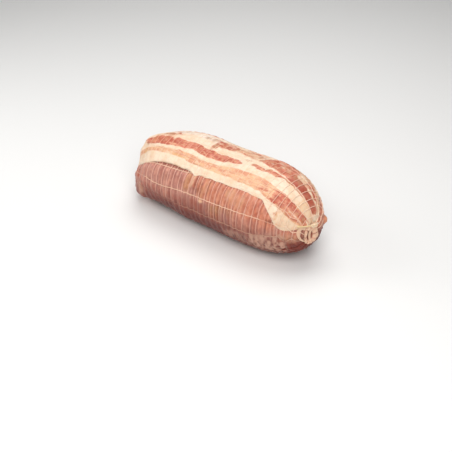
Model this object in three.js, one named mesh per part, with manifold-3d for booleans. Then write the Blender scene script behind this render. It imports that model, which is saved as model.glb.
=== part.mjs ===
// Duck roll: boned duck rolled up, covered on top with a streaky sheet of belly fat and lean,
// and held in an elastic net that is gathered and tied at both ends.
// Millimetres, +Z up. +X runs to the tied end, +Y to the back, and the roll lies on Z = 0.
// Angles go round the roll in degrees: 0 is the front flank, 90 the top, 180 the back flank.

import * as THREE from 'three';
import { mergeVertices } from 'three/addons/utils/BufferGeometryUtils.js';
import Module from 'manifold-3d';

// Driving dimensions of the roll
const rollLength = 246.4;
const halfWidths = [44.6, 53.8, 53.2, 49.3];
const halfHeights = [46.3, 44, 45.8, 50.9];
const flatDepth = 2;
const farDome = { length: 65, bluntness: 2.74, tipHeight: 30.6, tipShift: 14.7 };
const nearDome = { length: 83, bluntness: 2.06, tipHeight: 44.9, tipShift: 8.2 };
const bow = { even: 7.2, odd: 1.9 };
const sectionPower = { far: 1.62, middle: 2.2, farReach: 0.35 };
const pucker = { farDepth: 3, nearDepth: 8, radius: 10 };

// Uneven places of the rolled meat: where they are, how far they spread and how high they stand.
// The one with a height below zero is a dent.
const bulges = [
  { place: 8.6, angle: 78, spread: 16, spreadAngle: 34, height: 4.9 },
  { place: 19, angle: -39, spread: 16, spreadAngle: 26, height: 5 },
  { place: 8, angle: -52, spread: 12, spreadAngle: 20, height: 4.6 },
  { place: 9, angle: 46, spread: 13, spreadAngle: 24, height: -3 },
  { place: 10.5, angle: 84, spread: 5, spreadAngle: 10, height: 1.3 },
  { place: 6, angle: 62, spread: 4.5, spreadAngle: 10, height: 2.4 },
  { place: 17, angle: -39, spread: 7, spreadAngle: 11, height: 2.5 },
  { place: 72, angle: 105, spread: 26, spreadAngle: 34, height: 3.5 },
];

// Belly sheet: its two long edges as angles along the roll, and its thickness
const frontEdge = [
  [0, 26], [20, 31], [28, 35], [40, 39.5], [60, 43], [80, 44.3], [96, 43], [138, 45], [194, 45],
  [201, 40], [208, 32], [214, 23.5], [219, 15.5], [226, 11], [232, 14], [237, 22], [246, 40],
];
const backEdge = [[0, 150], [60, 162], [140, 158], [200, 160], [225, 138], [246, 128]];
const sheetThickness = { middle: 4, edge: 2 };
const sheetEnds = { far: 12, near: 14 };
const leanDrop = { depth: 0.9, spreadAngle: 7 };

// Net: rings round the roll, threads along it, and the thread's flat outer face and depth
const ringCount = 32;
const threadCount = 14;
const threadAngle = -12;
const threadTwist = 10;
const threadWidth = 1;
const threadDepth = 0.9;
const netLift = 0.75;
const netClearance = 0.1;
const groove = { gap: 0.4, widen: 1.1, below: 1.2, reach: 5 };
const netEnds = { far: 13, near: 15.5, stub: 4 };
const ringWander = 0.7;
const ringPull = { ring: 20, spread: 3.5, shift: -2.2 };

// The three threads in front, by number: place along the roll and angle round it
const frontThreads = [
  [[0, -12], [40, -13], [70, -11.5], [105, -8], [155, -7], [195, -6.5], [220, -1.5], [230, -5], [246, -6]],
  [[0, 12], [30, 11.5], [50, 8.7], [90, 12.3], [110, 13.5], [150, 14.7], [198, 17.5], [246, 17]],
  [[0, 33], [20, 32.5], [36, 36.2], [60, 38], [80, 40], [98, 43.5], [110, 46.5],
   [150, 48], [200, 48], [246, 44]],
];

// Gathered ends of the net and the string that ties the near one
const nearGather = { radius: 11, height: 7.5, pleats: 9, lean: 15 };
const farGather = { radius: 6.3, height: 5.5, pleats: 7, lean: 0 };
const string = { radius: 0.75, knotRadius: 2.1 };
// The string from its knot on, from the middle of the near gather: to the back, up, and out of the roll
const stringPoints = [[4.8, 14, 7.6], [-2.5, 15.2, 7], [-9, 16.3, 5.8], [-15, 17.5, 3.8], [-17.5, 18.4, 2.6]];
const meatTag = { place: 237, angle: 174, width: 6.5, height: 7.5, reach: 5 };

// Gap that neighbours keep, and the same gap at the sheet's long edges as an angle of the roll
const degree = Math.PI / 180;
const gap = 0.3;
const sheetMargin = (gap + 0.1) / 50 / degree;

// Facets
const seatRows = 25;
const tipRows = 3;
const tipLength = 4;
const bareColumns = 14;
const sheetColumns = 11;

const up = new THREE.Vector3(0, 0, 1);

const wasm = await Module();
wasm.setup();

// Small helpers

function clamp(value, low, high) {
  return Math.min(Math.max(value, low), high);
}

function bezier([a, b, c, d], t) {
  const r = 1 - t;
  return a * r ** 3 + 3 * b * t * r * r + 3 * c * t * t * r + d * t ** 3;
}

function signedPower(value, power) {
  return Math.sign(value) * Math.abs(value) ** power;
}

function bell(distance, spread) {
  return Math.exp(-((distance / spread) ** 2));
}

function angleBetween(a, b) {
  return ((a - b + 540) % 360) - 180;
}

// Smooth value between the given [place, value] pairs
function along(pairs, place) {
  const last = pairs.length - 2;
  let i = 0;
  while (i < last && place > pairs[i + 1][0]) i += 1;
  const [start, from] = pairs[i];
  const [end, to] = pairs[i + 1];
  const t = clamp((place - start) / (end - start), 0, 1);
  const before = i > 0 ? pairs[i - 1] : pairs[i];
  const after = i < last ? pairs[i + 2] : pairs[i + 1];
  const span = end - start;
  const slopeIn = (to - before[1]) / Math.max(end - before[0], 1) * span;
  const slopeOut = (after[1] - from) / Math.max(after[0] - start, 1) * span;
  const t2 = t * t;
  const t3 = t2 * t;
  const values = (2 * t3 - 3 * t2 + 1) * from + (3 * t2 - 2 * t3) * to;
  return values + (t3 - 2 * t2 + t) * slopeIn + (t3 - t2) * slopeOut;
}

// The roll's outer form

function domeShrink(reach, bluntness) {
  return Math.max(1 - reach ** bluntness, 0) ** (1 / bluntness);
}

function bulgeHeight(place, angle) {
  let height = 0;
  for (const bulge of bulges) {
    const spread = bell(place - bulge.place, bulge.spread);
    height += bulge.height * spread * bell(angleBetween(angle, bulge.angle), bulge.spreadAngle);
  }
  return height;
}

// Point of the roll's skin at a place along the axis and an angle round it
function skinPoint(place, angle) {
  const t = place / rollLength;
  const farReach = clamp((farDome.length - place) / farDome.length, 0, 1);
  const nearReach = clamp((place - rollLength + nearDome.length) / nearDome.length, 0, 1);
  const farShrink = domeShrink(farReach, farDome.bluntness);
  const nearShrink = domeShrink(nearReach, nearDome.bluntness);
  const shrink = farShrink * nearShrink;
  const farEnd = 1 - farShrink;
  const nearEnd = 1 - Math.sqrt(1 - nearReach ** 2);

  const halfWidth = bezier(halfWidths, t) * shrink;
  const fullHeight = bezier(halfHeights, t);
  const halfHeight = fullHeight * shrink;
  const axisHeight =
    fullHeight + (farDome.tipHeight - fullHeight) * farEnd + (nearDome.tipHeight - fullHeight) * nearEnd;

  const u = 2 * t - 1;
  const sway = bow.even * u * u + bow.odd * u ** 3 + farDome.tipShift * farEnd + nearDome.tipShift * nearEnd;
  const slope = (4 * bow.even * u + 6 * bow.odd * u * u) / rollLength;
  const stretch = Math.hypot(1, slope);

  const farBlend = clamp(1 - t / sectionPower.farReach, 0, 1);
  const power = 2 / (sectionPower.middle + (sectionPower.far - sectionPower.middle) * farBlend);
  // A bulge stands out from the axis in the middle of the roll and turns towards the ends on the domes
  const bulge = bulgeHeight(place, angle);
  const endward = Math.sqrt(1 - shrink ** 2) * Math.sign(t - 0.5) * Math.min(1, shrink * 1.5);
  const cos = Math.cos(angle * degree);
  const sin = Math.sin(angle * degree);
  const side = halfWidth * signedPower(cos, power) + bulge * shrink * cos;
  const rise = axisHeight + halfHeight * signedPower(sin, power) + bulge * shrink * sin;

  const hollow =
    pucker.farDepth * bell(halfWidth, pucker.radius) * (t < 0.5 ? 1 : 0) -
    pucker.nearDepth * bell(halfWidth, pucker.radius) * (t < 0.5 ? 0 : 1);
  return new THREE.Vector3(
    place - (slope / stretch) * side + hollow + bulge * endward,
    -sway - side / stretch,
    Math.max(rise - flatDepth, 0),
  );
}

// Places along the axis at even steps over the skin, from pole to pole
const meridian = measureMeridian(1200);

function measureMeridian(steps) {
  const places = [0];
  const lengths = [0];
  let before = skinPoint(0, 0);
  for (let i = 1; i <= steps; i += 1) {
    const place = rollLength * (0.5 - 0.5 * Math.cos(Math.PI * i / steps));
    const point = skinPoint(place, 0);
    lengths.push(lengths[i - 1] + point.distanceTo(before));
    places.push(place);
    before = point;
  }
  return { places, lengths, total: lengths[steps] };
}

function placeAt(length) {
  const { places, lengths, total } = meridian;
  const wanted = clamp(length, 0, total);
  let low = 0;
  let high = lengths.length - 1;
  while (high - low > 1) {
    const middle = (low + high) >> 1;
    if (lengths[middle] > wanted) high = middle;
    else low = middle;
  }
  const t = (wanted - lengths[low]) / (lengths[high] - lengths[low]);
  return places[low] + (places[high] - places[low]) * t;
}

// Skin point with its directions: out of the roll, along it and round it
function skinFrame(length, angle) {
  const place = placeAt(length);
  const step = 0.4;
  const point = skinPoint(place, angle);
  const ahead = skinPoint(placeAt(length + step), angle).sub(skinPoint(placeAt(length - step), angle));
  const round = skinPoint(place, angle + 1).sub(skinPoint(place, angle - 1)).normalize();
  const out = new THREE.Vector3().crossVectors(ahead, round).normalize();
  if (point.z === 0) out.set(0, 0, -1);
  return { place, point, out, round, ahead: new THREE.Vector3().crossVectors(round, out).normalize() };
}

function raised(length, angle, height) {
  const frame = skinFrame(length, angle);
  const point = frame.point.addScaledVector(frame.out, height);
  point.z = Math.max(point.z, 0);
  return point;
}

// Closed meshes

function closedMesh(points, faces) {
  const positions = [];
  for (const point of points) positions.push(point.x, point.y, point.z);
  const loose = new THREE.BufferGeometry();
  loose.setAttribute('position', new THREE.Float32BufferAttribute(positions, 3));
  loose.setIndex(faces.flat());
  const merged = mergeVertices(loose, 1e-3);
  const index = merged.index.array;
  const kept = [];
  for (let i = 0; i < index.length; i += 3) {
    const [a, b, c] = [index[i], index[i + 1], index[i + 2]];
    if (a !== b && b !== c && c !== a) kept.push(a, b, c);
  }
  if (signedVolume(merged.attributes.position, kept) < 0) {
    for (let i = 0; i < kept.length; i += 3) [kept[i], kept[i + 1]] = [kept[i + 1], kept[i]];
  }
  merged.setIndex(kept);
  return merged;
}

function signedVolume(position, index) {
  const [a, b, c] = [new THREE.Vector3(), new THREE.Vector3(), new THREE.Vector3()];
  let volume = 0;
  for (let i = 0; i < index.length; i += 3) {
    a.fromBufferAttribute(position, index[i]);
    b.fromBufferAttribute(position, index[i + 1]);
    c.fromBufferAttribute(position, index[i + 2]);
    volume += a.dot(b.cross(c)) / 6;
  }
  return volume;
}

// Two triangles for each quad between two rows of point numbers
function stitch(faces, lower, upper, isLoop) {
  const count = lower.length;
  const last = isLoop ? count : count - 1;
  for (let i = 0; i < last; i += 1) {
    const j = (i + 1) % count;
    faces.push([lower[i], lower[j], upper[j]], [lower[i], upper[j], upper[i]]);
  }
}

// Solid from closed rows of points and a tip at each end
function loopedSolid(startTip, rows, endTip) {
  const points = [startTip, endTip];
  const faces = [];
  const numbers = rows.map((row) => row.map((point) => points.push(point) - 1));
  for (let i = 1; i < numbers.length; i += 1) stitch(faces, numbers[i - 1], numbers[i], true);
  const first = numbers[0];
  const last = numbers[numbers.length - 1];
  first.forEach((number, i) => faces.push([0, first[(i + 1) % first.length], number]));
  last.forEach((number, i) => faces.push([1, number, last[(i + 1) % last.length]]));
  return closedMesh(points, faces);
}

// Solid between an outer and an inner patch of points
function patchSolid(outer, inner) {
  const points = [];
  const faces = [];
  const top = outer.map((row) => row.map((point) => points.push(point) - 1));
  const base = inner.map((row) => row.map((point) => points.push(point) - 1));
  const columns = top[0].length - 1;
  const rows = top.length - 1;
  for (let i = 0; i < rows; i += 1) {
    stitch(faces, top[i], top[i + 1], false);
    const under = [];
    stitch(under, base[i], base[i + 1], false);
    for (const [a, b, c] of under) faces.push([a, c, b]);
    stitch(faces, [base[i][0], top[i][0]], [base[i + 1][0], top[i + 1][0]], false);
    stitch(faces, [top[i][columns], base[i][columns]], [top[i + 1][columns], base[i + 1][columns]], false);
  }
  stitch(faces, base[0], top[0], false);
  stitch(faces, top[rows], base[rows], false);
  return closedMesh(points, faces);
}

// Joins and cuts

function toManifold(geometry) {
  const bare = geometry.clone();
  bare.deleteAttribute('normal');
  bare.deleteAttribute('uv');
  const merged = mergeVertices(bare, 1e-3);
  const vertProperties = new Float32Array(merged.attributes.position.array);
  const triVerts = new Uint32Array(merged.index.array);
  return new wasm.Manifold(new wasm.Mesh({ numProp: 3, vertProperties, triVerts }));
}

function fromManifold(manifold) {
  const mesh = manifold.getMesh();
  const geometry = new THREE.BufferGeometry();
  geometry.setAttribute('position', new THREE.Float32BufferAttribute(mesh.vertProperties, 3));
  geometry.setIndex(Array.from(mesh.triVerts));
  return geometry;
}

// Belly sheet and the seat that the meat leaves for it

const sheetStart = sheetEnds.far;
const sheetStop = meridian.total - sheetEnds.near;

function sheetDepth(length, share) {
  const edge = Math.min(share, 1 - share) * 8;
  const end = Math.min(length - sheetStart, sheetStop - length) / 14;
  const fullness = Math.sin(clamp(Math.min(edge, end), 0, 1) * 90 * degree);
  return sheetThickness.edge + (sheetThickness.middle - sheetThickness.edge) * fullness;
}

function bareDrop(angle, place) {
  const fromFront = angleBetween(angle, along(frontEdge, place));
  const fromBack = angleBetween(angle, along(backEdge, place));
  return -leanDrop.depth * (bell(fromFront, leanDrop.spreadAngle) + bell(fromBack, leanDrop.spreadAngle));
}

// Row of meat points: sunk under the sheet where hasSeat is true, and bare elsewhere
function meatRow(length, hasSeat) {
  const place = placeAt(length);
  const front = along(frontEdge, place);
  const back = along(backEdge, place);
  const row = [];
  for (let i = 0; i <= bareColumns; i += 1) {
    const angle = back + (360 + front - back) * i / bareColumns;
    row.push(raised(length, angle, bareDrop(angle, place)));
  }
  for (let i = 0; i <= sheetColumns; i += 1) {
    const share = i / sheetColumns;
    const sunk = hasSeat ? sheetDepth(length, share) + gap : 0;
    row.push(raised(length, front + (back - front) * share, -sunk));
  }
  return row;
}

function evenSteps(from, to, count) {
  return Array.from({ length: count }, (_, i) => from + (to - from) * i / (count - 1));
}

const seatLengths = evenSteps(sheetStart, sheetStop, seatRows);

function meatRoll() {
  const rows = [
    ...evenSteps(tipLength, sheetStart, tipRows).map((length) => meatRow(length, false)),
    ...seatLengths.map((length) => meatRow(length, true)),
    ...evenSteps(sheetStop, meridian.total - tipLength, tipRows).map((length) => meatRow(length, false)),
  ];
  return loopedSolid(raised(0, 0, 0), rows, raised(meridian.total, 0, 0));
}

function bellySheet() {
  const outer = [];
  const inner = [];
  for (const seatLength of seatLengths) {
    const length = clamp(seatLength, sheetStart + gap, sheetStop - gap);
    const place = placeAt(length);
    const front = along(frontEdge, place) + sheetMargin;
    const back = along(backEdge, place) - sheetMargin;
    const angles = evenSteps(front, back, sheetColumns + 1);
    outer.push(angles.map((angle) => raised(length, angle, 0)));
    inner.push(angles.map((angle, k) => raised(length, angle, -sheetDepth(length, k / sheetColumns))));
  }
  return patchSolid(outer, inner);
}

// Elastic net: one lattice of rings and lengthwise threads with a three-cornered section,
// its flat face out and its ridge towards the meat

// A groove is the same section grown by the gap and carried on down below the flat spot
function netKnotPoints(length, angle, isGroove) {
  const frame = skinFrame(length, angle);
  const half = threadWidth / 2 + (isGroove ? groove.widen : 0);
  const base = frame.point.clone().addScaledVector(frame.out, netLift + threadDepth);
  const corner = (east, north) => {
    const point = base.clone()
      .addScaledVector(frame.round, east * half)
      .addScaledVector(frame.ahead, north * half);
    point.z = Math.max(point.z, netClearance);
    if (isGroove && point.z < groove.reach) point.z -= groove.below;
    return point;
  };
  const lift = isGroove ? groove.gap : 0;
  const ridge = frame.point.clone().addScaledVector(frame.out, netLift - lift);
  ridge.z = Math.max(ridge.z, netClearance + threadDepth + lift);
  return { corner, ridge };
}

function ringLength(i) {
  const step = (meridian.total - netEnds.far - netEnds.near) / (ringCount - 1);
  const wander = ringWander * Math.sin(i * 2.4) * Math.sin(Math.PI * i / (ringCount - 1));
  return netEnds.far + step * i + wander + ringPull.shift * bell(i - ringPull.ring, ringPull.spread);
}

function threadLine(j, length) {
  if (j < frontThreads.length) return along(frontThreads[j], placeAt(length));
  return threadAngle + 360 * j / threadCount + threadTwist * (length / meridian.total - 0.5);
}

// Angle halfway from one thread to the next
function middleLine(j, length) {
  const isLast = j === threadCount - 1;
  const next = threadLine(isLast ? 0 : j + 1, length) + (isLast ? 360 : 0);
  return (threadLine(j, length) + next) / 2;
}

function netLattice(isGroove) {
  const points = [];
  const faces = [];
  const add = (point) => points.push(point) - 1;
  const quad = (a, b, c, d) => faces.push([a, b, c], [a, c, d]);

  // East is round the roll by growing angle, north is along it
  const knots = [];
  const middles = [];
  for (let i = 0; i < ringCount; i += 1) {
    const length = ringLength(i);
    knots.push([]);
    middles.push([]);
    for (let j = 0; j < threadCount; j += 1) {
      const angle = threadLine(j, length);
      const { corner, ridge } = netKnotPoints(length, angle, isGroove);
      knots[i].push({
        nw: add(corner(-1, 1)), ne: add(corner(1, 1)), se: add(corner(1, -1)), sw: add(corner(-1, -1)),
        ridge: add(ridge),
      });
      const between = netKnotPoints(length, middleLine(j, length), isGroove);
      middles[i].push({
        n: add(between.corner(0, 1)), s: add(between.corner(0, -1)),
        ridge: add(between.ridge),
      });
    }
  }

  for (let i = 0; i < ringCount; i += 1) {
    for (let j = 0; j < threadCount; j += 1) {
      const knot = knots[i][j];
      const middle = middles[i][j];
      const next = knots[i][(j + 1) % threadCount];
      quad(knot.sw, knot.se, knot.ne, knot.nw);
      quad(knot.se, middle.s, middle.n, knot.ne);
      quad(knot.ne, middle.n, middle.ridge, knot.ridge);
      quad(knot.ridge, middle.ridge, middle.s, knot.se);
      quad(middle.s, next.sw, next.nw, middle.n);
      quad(middle.n, next.nw, next.ridge, middle.ridge);
      quad(middle.ridge, next.ridge, next.sw, middle.s);
    }
  }

  const link = (from, to) => {
    quad(from.nw, from.ne, to.se, to.sw);
    quad(from.ne, from.ridge, to.ridge, to.se);
    quad(from.ridge, from.nw, to.sw, to.ridge);
  };
  for (let j = 0; j < threadCount; j += 1) {
    for (let i = 1; i < ringCount; i += 1) link(knots[i - 1][j], knots[i][j]);
    const start = ringLength(0) - netEnds.stub;
    const first = netKnotPoints(start, threadLine(j, start), isGroove);
    const tail = { nw: add(first.corner(-1, 0)), ne: add(first.corner(1, 0)), ridge: add(first.ridge) };
    link(tail, knots[0][j]);
    faces.push([tail.ne, tail.nw, tail.ridge]);
    const stop = ringLength(ringCount - 1) + netEnds.stub;
    const last = netKnotPoints(stop, threadLine(j, stop), isGroove);
    const head = { sw: add(last.corner(-1, 0)), se: add(last.corner(1, 0)), ridge: add(last.ridge) };
    link(knots[ringCount - 1][j], head);
    faces.push([head.sw, head.se, head.ridge]);
  }
  return closedMesh(points, faces);
}

// Gathered net end: a pleated rosette on a neck, with a sunken middle

// Frame at the sunken tip of an end: its axis leans to the front by the gather's lean
function poleFrame(isNear, { lean }) {
  const tip = skinPoint(isNear ? rollLength : 0, 0);
  const side = isNear ? 1 : -1;
  const out = new THREE.Vector3(side * Math.cos(lean * degree), -Math.sin(lean * degree), 0);
  const east = new THREE.Vector3().crossVectors(up, out).normalize();
  return { tip, out, east };
}

function poleOffset(frame, radius, turn, height) {
  return frame.tip.clone()
    .addScaledVector(frame.out, height)
    .addScaledVector(frame.east, radius * Math.cos(turn))
    .addScaledVector(up, radius * Math.sin(turn));
}

function gatheredEnd(frame, { radius, height, pleats }) {
  // Share of the radius, share of the height, and how deep the pleats are there
  const profile = [
    [0.25, 0.12, 0], [0.4, 0.28, 0.03], [0.44, 0.4, 0.04], [0.85, 0.62, 0.08], [1, 0.8, 0.12],
    [0.8, 0.97, 0.12], [0.44, 1, 0.14], [0.25, 0.78, 0.05],
  ];
  const around = pleats * 2;
  const rows = profile.map(([reach, rise, depth]) => Array.from({ length: around }, (_, k) => {
    const turn = 2 * Math.PI * k / around;
    const wave = 1 + depth * Math.cos(pleats * turn) + 0.05 * Math.sin(2 * turn + 1) * rise;
    return poleOffset(frame, radius * reach * wave, turn, gap + rise * height);
  }));
  const start = poleOffset(frame, 0, 0, gap + profile[0][1] * height);
  const stop = poleOffset(frame, 0, 0, gap + 0.7 * height);
  return loopedSolid(start, rows, stop);
}

// String that ties the near end: a knot beside the rosette and one loose tail over the net

function tubeSolid(path, radius, sides) {
  const rows = path.map((point, i) => {
    const forward = path[Math.min(i + 1, path.length - 1)].clone().sub(path[Math.max(i - 1, 0)]).normalize();
    const side = new THREE.Vector3(1, 0, 0).cross(forward).normalize();
    const over = new THREE.Vector3().crossVectors(forward, side);
    return Array.from({ length: sides }, (_, k) => point.clone()
      .addScaledVector(side, radius * Math.cos(2 * Math.PI * k / sides))
      .addScaledVector(over, radius * Math.sin(2 * Math.PI * k / sides)));
  });
  return loopedSolid(path[0], rows, path[path.length - 1]);
}

function tieString(frame) {
  const path = stringPoints.map(([across, rise, lift]) => frame.tip.clone()
    .addScaledVector(frame.east, across)
    .addScaledVector(up, rise)
    .addScaledVector(frame.out, lift));
  const [knot] = path;
  const tail = tubeSolid(new THREE.CatmullRomCurve3(path).getPoints(10), string.radius, 5);
  const knotBall = new THREE.IcosahedronGeometry(string.knotRadius, 1).translate(knot.x, knot.y, knot.z);
  return fromManifold(toManifold(tail).add(toManifold(knotBall)));
}

// Tag of meat that pokes out through the net beside the tied end
function tagSolid() {
  const step = meridian.places.findIndex((place) => place > meatTag.place);
  const frame = skinFrame(meridian.lengths[step], meatTag.angle);
  const tag = new THREE.IcosahedronGeometry(1, 1);
  const basis = new THREE.Matrix4().makeBasis(
    frame.ahead.clone().multiplyScalar(meatTag.height / 2),
    frame.round.clone().multiplyScalar(meatTag.width / 2),
    frame.out.clone().multiplyScalar(meatTag.reach),
  );
  basis.setPosition(frame.point);
  tag.applyMatrix4(basis);
  return tag;
}

// Materials and assembly

function finish(colour, roughness) {
  return new THREE.MeshStandardMaterial({ color: colour, roughness, metalness: 0 });
}

function named(name, geometry, material) {
  const flat = geometry.index ? geometry.toNonIndexed() : geometry;
  flat.computeVertexNormals();
  const mesh = new THREE.Mesh(flat, material);
  mesh.name = name;
  return mesh;
}

function buildRoll() {
  const near = poleFrame(true, nearGather);
  const far = poleFrame(false, farGather);
  const meat = toManifold(meatRoll()).add(toManifold(tagSolid())).subtract(toManifold(netLattice(true)));
  const roll = new THREE.Group();
  roll.add(named('meat_roll', fromManifold(meat), finish('#b8695c', 0.5)));
  roll.add(named('belly_sheet', bellySheet(), finish('#eccba6', 0.45)));
  roll.add(named('net', netLattice(false), finish('#e6bfa2', 0.7)));
  roll.add(named('net_gather_near', gatheredEnd(near, nearGather), finish('#e3bf9b', 0.7)));
  roll.add(named('net_gather_far', gatheredEnd(far, farGather), finish('#c98f7c', 0.7)));
  roll.add(named('tie_string', tieString(near), finish('#ead59c', 0.75)));
  return roll;
}

// The origin goes to the middle of the roll's length and width, on the surface it lies on
function centred(roll) {
  const box = new THREE.Box3().setFromObject(roll);
  const middle = box.getCenter(new THREE.Vector3());
  for (const mesh of roll.children) mesh.geometry.translate(-middle.x, -middle.y, -box.min.z);
  return roll;
}

export default centred(buildRoll());
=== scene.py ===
# Raw duck roll in its net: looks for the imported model.
# Lengths below are millimetres unless a note says otherwise; meshes are scaled to metres when they are made.
# Angles go round the roll in degrees: 0 is the front flank, 90 the top, 180 the back flank.
import math

import bpy
import numpy as np
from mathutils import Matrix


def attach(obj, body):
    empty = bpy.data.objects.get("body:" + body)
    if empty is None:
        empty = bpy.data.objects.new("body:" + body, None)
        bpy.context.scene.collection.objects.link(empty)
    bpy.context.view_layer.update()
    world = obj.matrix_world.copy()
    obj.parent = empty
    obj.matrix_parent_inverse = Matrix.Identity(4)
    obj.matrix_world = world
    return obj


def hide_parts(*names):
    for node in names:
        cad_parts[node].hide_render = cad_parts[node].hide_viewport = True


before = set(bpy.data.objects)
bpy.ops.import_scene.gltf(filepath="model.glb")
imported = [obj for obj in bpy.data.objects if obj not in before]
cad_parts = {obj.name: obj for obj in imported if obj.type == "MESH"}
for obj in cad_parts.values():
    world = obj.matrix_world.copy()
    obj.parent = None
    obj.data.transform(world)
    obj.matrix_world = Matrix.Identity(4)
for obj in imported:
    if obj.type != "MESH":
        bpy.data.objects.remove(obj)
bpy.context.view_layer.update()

mm = 0.001
print("frame loaded")


# Small maths

def softStep(value):
    t = np.clip(value, 0, 1)
    return t * t * (3 - 2 * t)


def bell(distance, spread):
    return np.exp(-(distance / spread) ** 2)


def bezier(values, t):
    r = 1 - t
    a, b, c, d = values
    return a * r ** 3 + 3 * b * t * r * r + 3 * c * t * t * r + d * t ** 3


def signedPower(value, power):
    return np.sign(value) * np.abs(value) ** power


def angleBetween(a, b):
    return (a - b + 540) % 360 - 180


def along(pairs, place):  # smooth value between (place, value) pairs
    places, values = np.array(pairs, float).T
    last = len(pairs) - 2
    i = np.clip(np.searchsorted(places, place, side="left") - 1, 0, last)
    before, after = np.maximum(i - 1, 0), np.minimum(i + 2, last + 1)
    span = places[i + 1] - places[i]
    t = np.clip((place - places[i]) / span, 0, 1)
    slopeIn = (values[i + 1] - values[before]) / np.maximum(places[i + 1] - places[before], 1) * span
    slopeOut = (values[after] - values[i]) / np.maximum(places[after] - places[i], 1) * span
    t2, t3 = t * t, t * t * t
    start = (2 * t3 - 3 * t2 + 1) * values[i] + (t3 - 2 * t2 + t) * slopeIn
    return start + (3 * t2 - 2 * t3) * values[i + 1] + (t3 - t2) * slopeOut


# -1 to 1, in blobs of size millimetres along the roll and 360 / around degrees round it
def softNoise(length, angle, size, around, seed):
    rows, first = 97, 31  # rows of blobs before they repeat, and the one at the far end
    table = np.random.default_rng(seed).random((rows, around)) * 2 - 1
    u, v = length / size + first, (angle % 360) * around / 360
    i, j = np.floor(u).astype(int), np.floor(v).astype(int)
    s, t = softStep(u - i), softStep(v - j)
    low, high = (table[row % rows, j % around] * (1 - t) + table[row % rows, (j + 1) % around] * t
                 for row in (i, i + 1))
    return low * (1 - s) + high * s


def layeredNoise(length, angle, layers):  # layers of (strength, size, around, seed)
    return sum(layer[0] * softNoise(length, angle, *layer[1:]) for layer in layers)


def unit(vectors):
    return vectors / np.maximum(np.linalg.norm(vectors, axis=-1, keepdims=True), 1e-9)


# The roll's form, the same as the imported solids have

rollForm = {
    "length": 246.4,
    "halfWidths": (44.6, 53.8, 53.2, 49.3),  # Bezier values from the far end to the near one
    "halfHeights": (46.3, 44, 45.8, 50.9),
    "flatDepth": 2,  # what the flat underside cuts off
    "farDome": {"length": 65, "bluntness": 2.74, "tipHeight": 30.6, "tipShift": 14.7},
    "nearDome": {"length": 83, "bluntness": 2.06, "tipHeight": 44.9, "tipShift": 8.2},
    "bowEven": 7.2,  # how far the ends bend to the front
    "bowOdd": 1.9,
    "sectionFar": 1.62,  # power of the section: 2 is an ellipse, more is boxier
    "sectionMiddle": 2.2,
    "sectionReach": 0.35,
    "farPucker": 3,
    "nearPucker": 8,
    "puckerRadius": 10,
    "pushFade": 1.5,  # how late the bulges stop pushing along the roll at its tips
    "centre": (123.14, -0.34),  # where the frame's origin lies in these measures
}
# (place, angle, spread along, spread round in degrees, height)
rollBulges = (
    (8.6, 78, 16, 34, 4.9),
    (19, -39, 16, 26, 5),
    (8, -52, 12, 20, 4.6),
    (9, 46, 13, 24, -3),
    (10.5, 84, 5, 10, 1.3),
    (6, 62, 4.5, 10, 2.4),
    (17, -39, 7, 11, 2.5),
    (72, 105, 26, 34, 3.5),
)


def domeShrink(dome, reach):  # 1 where the dome starts, 0 at its tip
    return np.maximum(1 - reach ** dome["bluntness"], 0) ** (1 / dome["bluntness"])


def skinPoint(place, angle):
    f = rollForm
    t = place / f["length"]
    far, near = f["farDome"], f["nearDome"]
    farReach = np.clip((far["length"] - place) / far["length"], 0, 1)
    nearReach = np.clip((place - f["length"] + near["length"]) / near["length"], 0, 1)
    farShrink = domeShrink(far, farReach)
    shrink = farShrink * domeShrink(near, nearReach)
    farEnd, nearEnd = 1 - farShrink, 1 - np.sqrt(1 - nearReach ** 2)
    halfWidth = bezier(f["halfWidths"], t) * shrink
    fullHeight = bezier(f["halfHeights"], t)
    axis = fullHeight + (far["tipHeight"] - fullHeight) * farEnd + (near["tipHeight"] - fullHeight) * nearEnd
    u = 2 * t - 1
    sway = f["bowEven"] * u * u + f["bowOdd"] * u ** 3 + far["tipShift"] * farEnd + near["tipShift"] * nearEnd
    slope = (4 * f["bowEven"] * u + 6 * f["bowOdd"] * u * u) / f["length"]
    stretch = np.hypot(1, slope)
    farBlend = np.clip(1 - t / f["sectionReach"], 0, 1)
    power = 2 / (f["sectionMiddle"] + (f["sectionFar"] - f["sectionMiddle"]) * farBlend)
    bulge = 0
    for atPlace, atAngle, spread, spreadAngle, height in rollBulges:
        around = bell(angleBetween(angle, atAngle), spreadAngle)
        bulge = bulge + height * bell(place - atPlace, spread) * around
    push = np.sqrt(np.maximum(1 - shrink ** 2, 0)) * np.sign(t - 0.5) * np.minimum(1, shrink * f["pushFade"])
    cos, sin = np.cos(np.radians(angle)), np.sin(np.radians(angle))
    side = halfWidth * signedPower(cos, power) + bulge * shrink * cos
    rise = axis + fullHeight * shrink * signedPower(sin, power) + bulge * shrink * sin
    pucker = np.where(t < 0.5, f["farPucker"], -f["nearPucker"]) * bell(halfWidth, f["puckerRadius"])
    x = place - slope / stretch * side + pucker + bulge * push - f["centre"][0]
    y = -sway - side / stretch - f["centre"][1]
    return np.stack(np.broadcast_arrays(x, y, np.maximum(rise - f["flatDepth"], 0)), -1)


def measureMeridian():
    steps = 1200
    places = rollForm["length"] * (0.5 - 0.5 * np.cos(np.pi * np.arange(steps + 1) / steps))
    points = skinPoint(places, 0.0)
    lengths = np.concatenate([[0], np.cumsum(np.linalg.norm(np.diff(points, axis=0), axis=1))])
    return places, lengths


meridianPlaces, meridianLengths = measureMeridian()
rollTotal = float(meridianLengths[-1])


def placeAt(length):
    return np.interp(length, meridianLengths, meridianPlaces)


def lengthAt(place):
    return np.interp(place, meridianPlaces, meridianLengths)


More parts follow.
